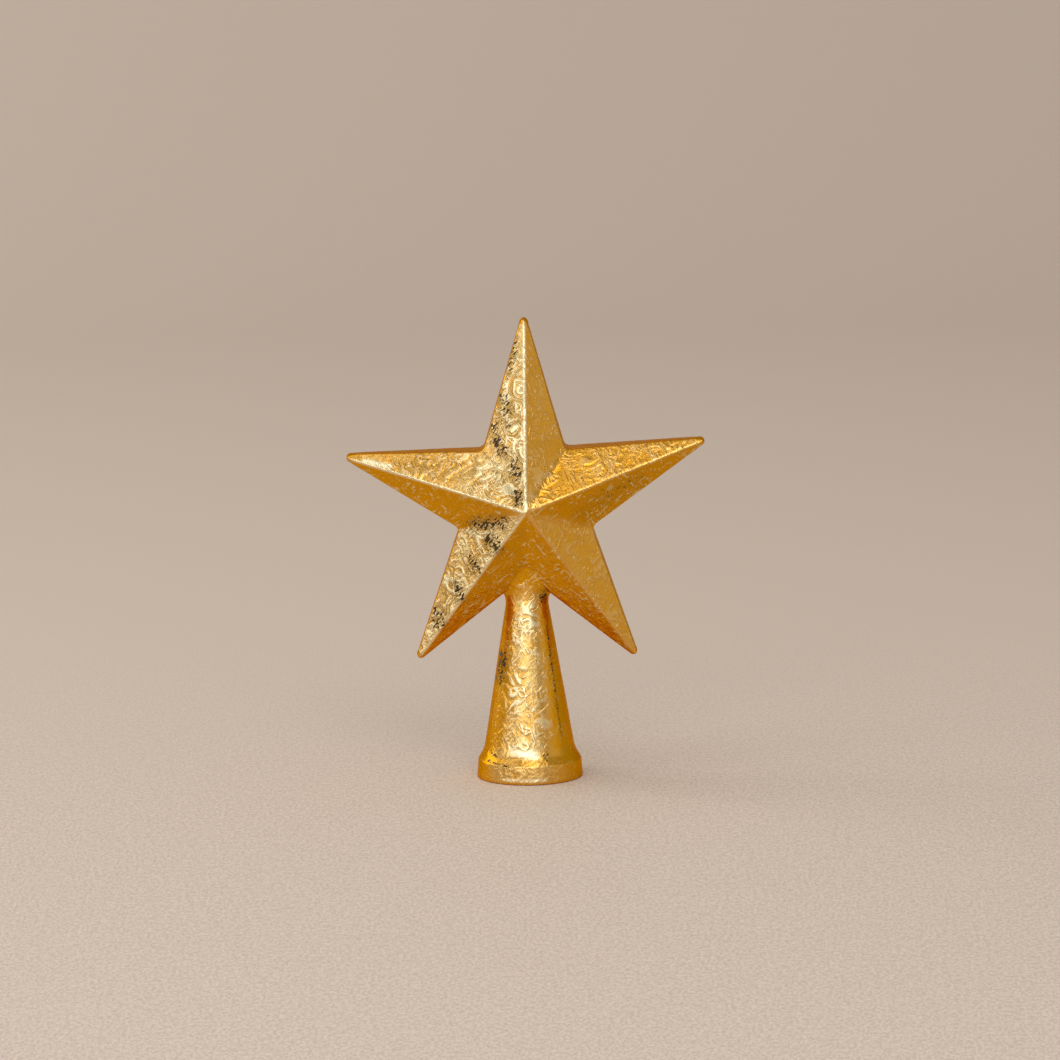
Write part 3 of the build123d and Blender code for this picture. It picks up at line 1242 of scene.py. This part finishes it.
def leaf_group():
    """Shader group of everything in the leaf's surface that changes from place to place."""
    tree = bpy.data.node_groups.new("leaf_surface", "ShaderNodeTree")
    tree.interface.new_socket("Place", in_out="INPUT", socket_type="NodeSocketVector")
    place = tree.nodes.new("NodeGroupInput").outputs["Place"]
    scratch_lane = stretched(tree, place, DIAGONAL, SCRATCH_SQUEEZE)
    scratches = noise(tree, scratch_lane, SCRATCH_SIZE, LINE_DETAIL, SCRATCH_WARP)
    dash_lane = stretched(tree, place, DIAGONAL, DASH_SQUEEZE)
    values = {
        "Wrinkles": wrinkles(tree, place, softness=0),
        "Groove_shade": loops(tree, place, 0, *GROOVE_RAMP),
        "Strokes": strokes(tree, place, softness=0),
        "Scratches": ramp(tree, scratches, *SCRATCH_RAMP),
        "Grain": noise(tree, place, GRAIN_SIZE),
        "Dashes": noise(tree, dash_lane, DASH_SIZE, LINE_DETAIL),
        "Tone": noise(tree, place, TONE_SIZE, TONE_DETAIL),
    }
    for name in values:
        tree.interface.new_socket(name, in_out="OUTPUT", socket_type="NodeSocketFloat")
    result = tree.nodes.new("NodeGroupOutput")
    for name, value in values.items():
        feed(tree, result, name, value)
    return tree


leaf_surface = leaf_group()
print("nodes in the leaf's surface:", len(leaf_surface.nodes))

# %% [markdown]
# ## Where the leaf is painted pale
# The pale share of the gold is a painted sheen with painted glints: it comes from the faces that get
# the sheen and from the lines that stand on them. Faces that look straight up keep more deep gold,
# except in the patch up and left of the star's point. Faces that look down get hardly any sheen, but
# short pale strokes as painted glints. In the valleys the share is drawn towards a middle value, with
# a ragged edge, so that no hard border runs between two facets.

# %% Shares of painted sheen and brown
# Faces that look straight up get less painted sheen, and faces that look down get painted glints.
SKY_RAMP = (0.3, 0.55, 1.0, 0.42)
BELOW_RAMP = (0.0, -0.25, 0.35, 0.85)
TONE_RAMP = (0.38, 0.62, 0.5, 1.0)
VALLEY_RAMP = (0.15, 0.85)
VALLEY_RAGGEDNESS = 0.8
VALLEY_SHARE = 0.3
STIPPLE_RAMP = (0.54, 0.36, 0.0, 0.85)
SCRATCH_DEPTH = 0.6
BROWN_BELOW = 0.3


def written_value(tree, name):
    """The number that was written on the mesh under a name."""
    node = tree.nodes.new("ShaderNodeAttribute")
    node.attribute_name = name
    return node.outputs["Fac"]


def facing_up(tree, normal, limits):
    """A soft step by how far a face looks up or, with limits below 0, down."""
    parts = tree.nodes.new("ShaderNodeSeparateXYZ")
    feed(tree, parts, 0, normal)
    return ramp(tree, parts.outputs["Z"], *limits)


def evened_sheen_share(tree, surface, normal, limits):
    """Share of painted sheen by the way that a face looks, evened out in the valleys."""
    ragged = calculate(tree, "ADD", written_value(tree, "valley"), -VALLEY_RAGGEDNESS / 2)
    ragged = calculate(tree, "MULTIPLY_ADD", surface["Tone"], VALLEY_RAGGEDNESS, ragged)
    in_valley = ramp(tree, ragged, *VALLEY_RAMP)
    return between(tree, in_valley, sheen_facing_share(tree, normal, limits), VALLEY_SHARE)


def pale_leaf(tree, surface, normal, painted_sheen, below):
    """Share of pale gold, painted as sheen and glints, and the share of the raised lines in it."""
    shown = larger(tree, facing_up(tree, normal, SKY_RAMP), written_value(tree, "sheen_patch"))
    shown = times(tree, painted_sheen, shown)
    lines = times(tree, surface["Wrinkles"], shown)
    pale = times(tree, shown, ramp(tree, surface["Tone"], *TONE_RAMP))
    pale = larger(tree, pale, lines)
    return larger(tree, pale, times(tree, surface["Strokes"], below)), lines


def brown_and_groove_shade(tree, surface, painted_sheen, below, groove_shade):
    """Share of brown: the leaf's stipple and scratches and painted shade in the grooves, on faces
    with painted sheen and, less, on faces that look down.
    """
    stipple = ramp(tree, surface["Grain"], *STIPPLE_RAMP)
    brown_and_shade = larger(tree, stipple, times(tree, surface["Groove_shade"], groove_shade))
    brown_and_shade = larger(tree, brown_and_shade, times(tree, surface["Scratches"], SCRATCH_DEPTH))
    return times(tree, brown_and_shade, larger(tree, painted_sheen, times(tree, below, BROWN_BELOW)))


print("in the valleys the rubbed share goes towards", VALLEY_SHARE)

# %% [markdown]
# ## Torn and crumpled
# Where the leaf tore, the gold is smudged brown, and dashes of the dark ground show through: the more
# it is torn, the lower the noise has to rise for a dash. The same brown and dashes paint shade in the
# crevice above the collar. The finest crumples are too small for the mesh, so a Bump node lays them
# over the relief, more on the faces with painted sheen than on plain ones.

# %% Dashes of dark ground, and fine crumples
DASH_EDGE = 0.84
DASH_EDGE_DROP = 0.34
DASH_SOFTNESS = 0.04
CRUMPLE_ON_SHEEN_FACES = 0.7
CRUMPLE_ON_PLAIN = 0.35
GRAIN_HEIGHT = 0.3
CRUMPLE_STRENGTH = 0.8
CRUMPLE_DEPTH = 0.3 * MM


def dark_dashes(tree, surface, torn_and_shade):
    """1 in the dashes of dark ground, on torn leaf and as painted crevice shade, 0 on the leaf."""
    edge = calculate(tree, "MULTIPLY_ADD", torn_and_shade, -DASH_EDGE_DROP, DASH_EDGE)
    excess = calculate(tree, "SUBTRACT", surface["Dashes"], edge)
    return ramp(tree, excess, 0.0, DASH_SOFTNESS)


def crumpled(tree, surface, painted_sheen, amount):
    """The normal of the finely crumpled leaf."""
    strength = calculate(
        tree, "MULTIPLY_ADD", painted_sheen, CRUMPLE_ON_SHEEN_FACES * amount, CRUMPLE_ON_PLAIN * amount
    )
    height = calculate(tree, "MULTIPLY_ADD", surface["Grain"], GRAIN_HEIGHT, surface["Wrinkles"])
    bump = tree.nodes.new("ShaderNodeBump")
    bump.inputs["Strength"].default_value = CRUMPLE_STRENGTH
    bump.inputs["Distance"].default_value = CRUMPLE_DEPTH
    feed(tree, bump, "Height", times(tree, height, strength))
    return bump.outputs[0]


print("fine crumples up to", CRUMPLE_DEPTH / MM, "mm deep")

# %% [markdown]
# ## Gold leaf
# The leaf is bright metal in a deep gold, mixed in steps: pale gold as a painted sheen, brown in its
# hollows with painted shade in the grooves, a light gold as a painted highlight on ridges and lit
# lines, and brown smudges and dark dashes where it tore and as painted shade in the crevice above the
# collar. Only the dashes are not metal. The stem, the bead and the collar have a warmer pale gold.

# %% Finish of the leaf
DEEP_GOLD = (0.77, 0.345, 0.003, 1)
# Pale and warm gold are painted sheen.
PALE_GOLD = (0.87, 0.725, 0.37, 1)
WARM_GOLD = (0.89, 0.67, 0.28, 1)
# Light gold for the painted highlights.
HIGHLIGHT_GOLD = (0.98, 0.90, 0.60, 1)
# Brown of the stipple and scratches, and painted shade in the grooves.
BROWN_AND_GROOVE_SHADE = (0.40, 0.215, 0.035, 1)
# Brown of torn leaf, also painted shade in the crevice above the collar.
SMUDGE_AND_SHADE_BROWN = (0.22, 0.12, 0.025, 1)
# Dark ground in torn leaf, also painted shade in the crevice above the collar.
DARK_GROUND_AND_SHADE = (0.030, 0.017, 0.006, 1)
EDGE_TINT = (0.90, 0.62, 0.28, 1)
SMUDGE_AND_SHADE_RAMP = (0.6, 0.4, 0.1, 0.8)
ROUGHNESS_RAMP = (0.3, 0.7, 0.2, 0.34)
COLOUR_SOCKETS = (6, 7)
COLOUR_RESULT = 2


def shade_mix(tree, share, first, second):
    """A colour between two. A Mix node keeps its colour sockets behind those for numbers."""
    node = tree.nodes.new("ShaderNodeMix")
    node.data_type = "RGBA"
    feed(tree, node, 0, share)
    for socket, colour in zip(COLOUR_SOCKETS, (first, second)):
        feed(tree, node, socket, colour)
    return node.outputs[COLOUR_RESULT]


def new_finish(name):
    """A material, its node tree, its Principled shader and its coordinates."""
    material = bpy.data.materials.new(name)
    material.use_nodes = True
    tree = material.node_tree
    coordinates = tree.nodes.new("ShaderNodeTexCoord").outputs
    return material, tree, tree.nodes["Principled BSDF"], coordinates


def leaf_material(name, limits, pale_gold, lit_lines, groove_shade, crumpling):
    """Gold leaf over a dark ground, with a painted sheen on the faces within the limits."""
    material, tree, shader, coordinates = new_finish(name)
    group = tree.nodes.new("ShaderNodeGroup")
    group.node_tree = leaf_surface
    feed(tree, group, "Place", coordinates["Object"])
    surface = group.outputs
    normal = coordinates["Normal"]
    painted_sheen = evened_sheen_share(tree, surface, normal, limits)
    below = facing_up(tree, normal, BELOW_RAMP)
    pale, lines = pale_leaf(tree, surface, normal, painted_sheen, below)
    not_tip = calculate(tree, "SUBTRACT", 1.0, written_value(tree, "plain"))
    # The pale gold is a painted sheen.
    gold = shade_mix(tree, times(tree, pale, not_tip), DEEP_GOLD, pale_gold)
    # Brown of the leaf's stipple and scratches, with painted shade in the grooves.
    brown_and_shade = brown_and_groove_shade(tree, surface, painted_sheen, below, groove_shade)
    gold = shade_mix(tree, brown_and_shade, gold, BROWN_AND_GROOVE_SHADE)
    # A painted highlight on the ridges, on the highlight runs and on lit lines.
    bright = larger(tree, written_value(tree, "painted_highlight"), times(tree, lines, lit_lines))
    gold = shade_mix(tree, times(tree, bright, not_tip), gold, HIGHLIGHT_GOLD)
    # Brown smudges and dark dashes of torn leaf, also painted shade in the crevice above the collar.
    torn_and_shade = written_value(tree, "torn_and_shade")
    smudge_and_shade = times(tree, torn_and_shade, ramp(tree, surface["Grain"], *SMUDGE_AND_SHADE_RAMP))
    gold = shade_mix(tree, smudge_and_shade, gold, SMUDGE_AND_SHADE_BROWN)
    bare_and_shade = dark_dashes(tree, surface, torn_and_shade)
    feed(tree, shader, "Base Color", shade_mix(tree, bare_and_shade, gold, DARK_GROUND_AND_SHADE))
    feed(tree, shader, "Metallic", calculate(tree, "SUBTRACT", 1.0, bare_and_shade))
    feed(tree, shader, "Roughness", ramp(tree, surface["Grain"], *ROUGHNESS_RAMP))
    feed(tree, shader, "Specular Tint", EDGE_TINT)
    feed(tree, shader, "Normal", crumpled(tree, surface, painted_sheen, crumpling))
    return material


print("nodes and colours of the leaf are ready")

# %% [markdown]
# ## Gilding the pieces
# Each piece has its own limits of painted sheen. On the round stem it is a painted highlight in a
# band down its front and its back that fades towards the right, on the bead it is painted only where
# it does not look down, and on the collar less strongly and with calmer lines.

# %% Lay the finish on the pieces
# On the stem the sheen is a painted highlight in a band down the front and the back.
ROUND_SIDE = (0.75, 0.0)
STEM_FRONT = (0.72, 0.93)
STEM_SHEEN_LIMITS = {**STAR_SHEEN_LIMITS, "left": ROUND_SIDE, "front": STEM_FRONT, "least": 0.08}
BEAD_SHEEN_LIMITS = {**STEM_SHEEN_LIMITS, "up": (-0.15, 0.16), "least": 0.1}
COLLAR_SHEEN_LIMITS = {**STEM_SHEEN_LIMITS, "front": (0.5, 0.9), "least": 0.12, "most": 0.7}

star_leaf = leaf_material(
    "star_leaf", STAR_SHEEN_LIMITS, PALE_GOLD, lit_lines=0.65, groove_shade=0.95, crumpling=0.7
)
stem_leaf = leaf_material(
    "stem_leaf", STEM_SHEEN_LIMITS, WARM_GOLD, lit_lines=0.9, groove_shade=0.6, crumpling=0.5
)
bead_leaf = leaf_material(
    "bead_leaf", BEAD_SHEEN_LIMITS, WARM_GOLD, lit_lines=0.9, groove_shade=0.6, crumpling=0.5
)
collar_leaf = leaf_material(
    "collar_leaf", COLLAR_SHEEN_LIMITS, WARM_GOLD, lit_lines=0.15, groove_shade=0.2, crumpling=0.3
)


def finish_with(piece, finish):
    """Make a finish the only one of a piece."""
    piece.data.materials.clear()
    piece.data.materials.append(finish)


for piece in (star_front, star_back):
    finish_with(piece, star_leaf)
finish_with(stem, stem_leaf)
finish_with(bead, bead_leaf)
finish_with(collar, collar_leaf)
print("leaf on", stem.name, "is", stem.data.materials[0].name)

# %% [markdown]
# ## Paper
# The sheet is faintly mottled by its fibres. Its finish mixes two close beiges with a noise that is
# drawn out in depth, because the low camera shortens it again. Towards the back the mottle calms down
# to the middle tone, because from afar the fibres of real paper melt into one.

# %% Finish of the paper
PAPER_LIGHT = (0.77, 0.665, 0.578, 1)
PAPER_DARK = (0.62, 0.527, 0.45, 1)
PAPER_ROUGHNESS = 0.6
FIBRE_SIZE = 1.1 * MM
FIBRE_SQUEEZE = (1, 0.45, 1)
FIBRE_WARP = 0.6
MOTTLE_RAMP = (0.3, 0.7)
CALM_RAMP = (-0.1, 0.45)
MIDDLE_TONE = 0.5

paper_finish, tree, shader, coordinates = new_finish("beige_paper")
shader.inputs["Roughness"].default_value = PAPER_ROUGHNESS
place = coordinates["Object"]
fibres = vector_math(tree, "MULTIPLY", place, FIBRE_SQUEEZE)
mottle = ramp(tree, noise(tree, fibres, FIBRE_SIZE, distortion=FIBRE_WARP), *MOTTLE_RAMP)
parts = tree.nodes.new("ShaderNodeSeparateXYZ")
feed(tree, parts, 0, place)
calm = ramp(tree, parts.outputs["Y"], *CALM_RAMP)
mottle = between(tree, calm, mottle, MIDDLE_TONE)
feed(tree, shader, "Base Color", shade_mix(tree, mottle, PAPER_LIGHT, PAPER_DARK))
finish_with(paper, paper_finish)
print("paper:", paper.data.materials[0].name)

# %% [markdown]
# ## Steel and wood
# The tube in the neck is drawn steel with fine lines along it, and the pegs are plain turned wood
# with grain along theirs. Both keep the mesh of their solids, because nothing is missing in their
# shape. A noise that is drawn out along the piece gives both their lines.

# %% Finishes of the tube and the pegs
STEEL_DARK = (0.42, 0.41, 0.40, 1)
STEEL_LIGHT = (0.62, 0.61, 0.59, 1)
STEEL_ROUGHNESS = 0.35
DRAWN_LINES = (1, 1, 0.03)
DRAWN_LINE_SIZE = 0.4 * MM
WOOD_DARK = (0.42, 0.25, 0.11, 1)
WOOD_LIGHT = (0.62, 0.44, 0.24, 1)
WOOD_ROUGHNESS = 0.6
WOOD_GRAIN = (1, 0.08, 1)
WOOD_GRAIN_SIZE = 0.5 * MM
WOOD_DETAIL = 3.0

steel, tree, shader, coordinates = new_finish("drawn_steel")
shader.inputs["Roughness"].default_value = STEEL_ROUGHNESS
shader.inputs["Metallic"].default_value = 1.0
lane = vector_math(tree, "MULTIPLY", coordinates["Object"], DRAWN_LINES)
lines = noise(tree, lane, DRAWN_LINE_SIZE)
feed(tree, shader, "Base Color", shade_mix(tree, lines, STEEL_DARK, STEEL_LIGHT))

wood, tree, shader, coordinates = new_finish("peg_wood")
shader.inputs["Roughness"].default_value = WOOD_ROUGHNESS
lane = vector_math(tree, "MULTIPLY", coordinates["Object"], WOOD_GRAIN)
grain = noise(tree, lane, WOOD_GRAIN_SIZE, WOOD_DETAIL)
feed(tree, shader, "Base Color", shade_mix(tree, grain, WOOD_DARK, WOOD_LIGHT))

finish_with(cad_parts["neck_tube"], steel)
finish_with(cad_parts["alignment_pegs"], wood)
print("finishes:", len(bpy.data.materials))

# %% [markdown]
# ## Put the pieces in their places
# Each leafed piece stands for one solid and moves with the object's only body.

# %% Hand the pieces over
stand_ins = {
    "front_star_shell": (star_front, "gilded_resin"),
    "back_star_shell": (star_back, "gilded_resin"),
    "stem_cone": (stem, "gilded_resin"),
    "neck_bead": (bead, "gilded_filler"),
    "base_collar": (collar, "gilded_resin"),
}
for node_name, (piece, slot_name) in stand_ins.items():
    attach(piece, "root")
    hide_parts(node_name)
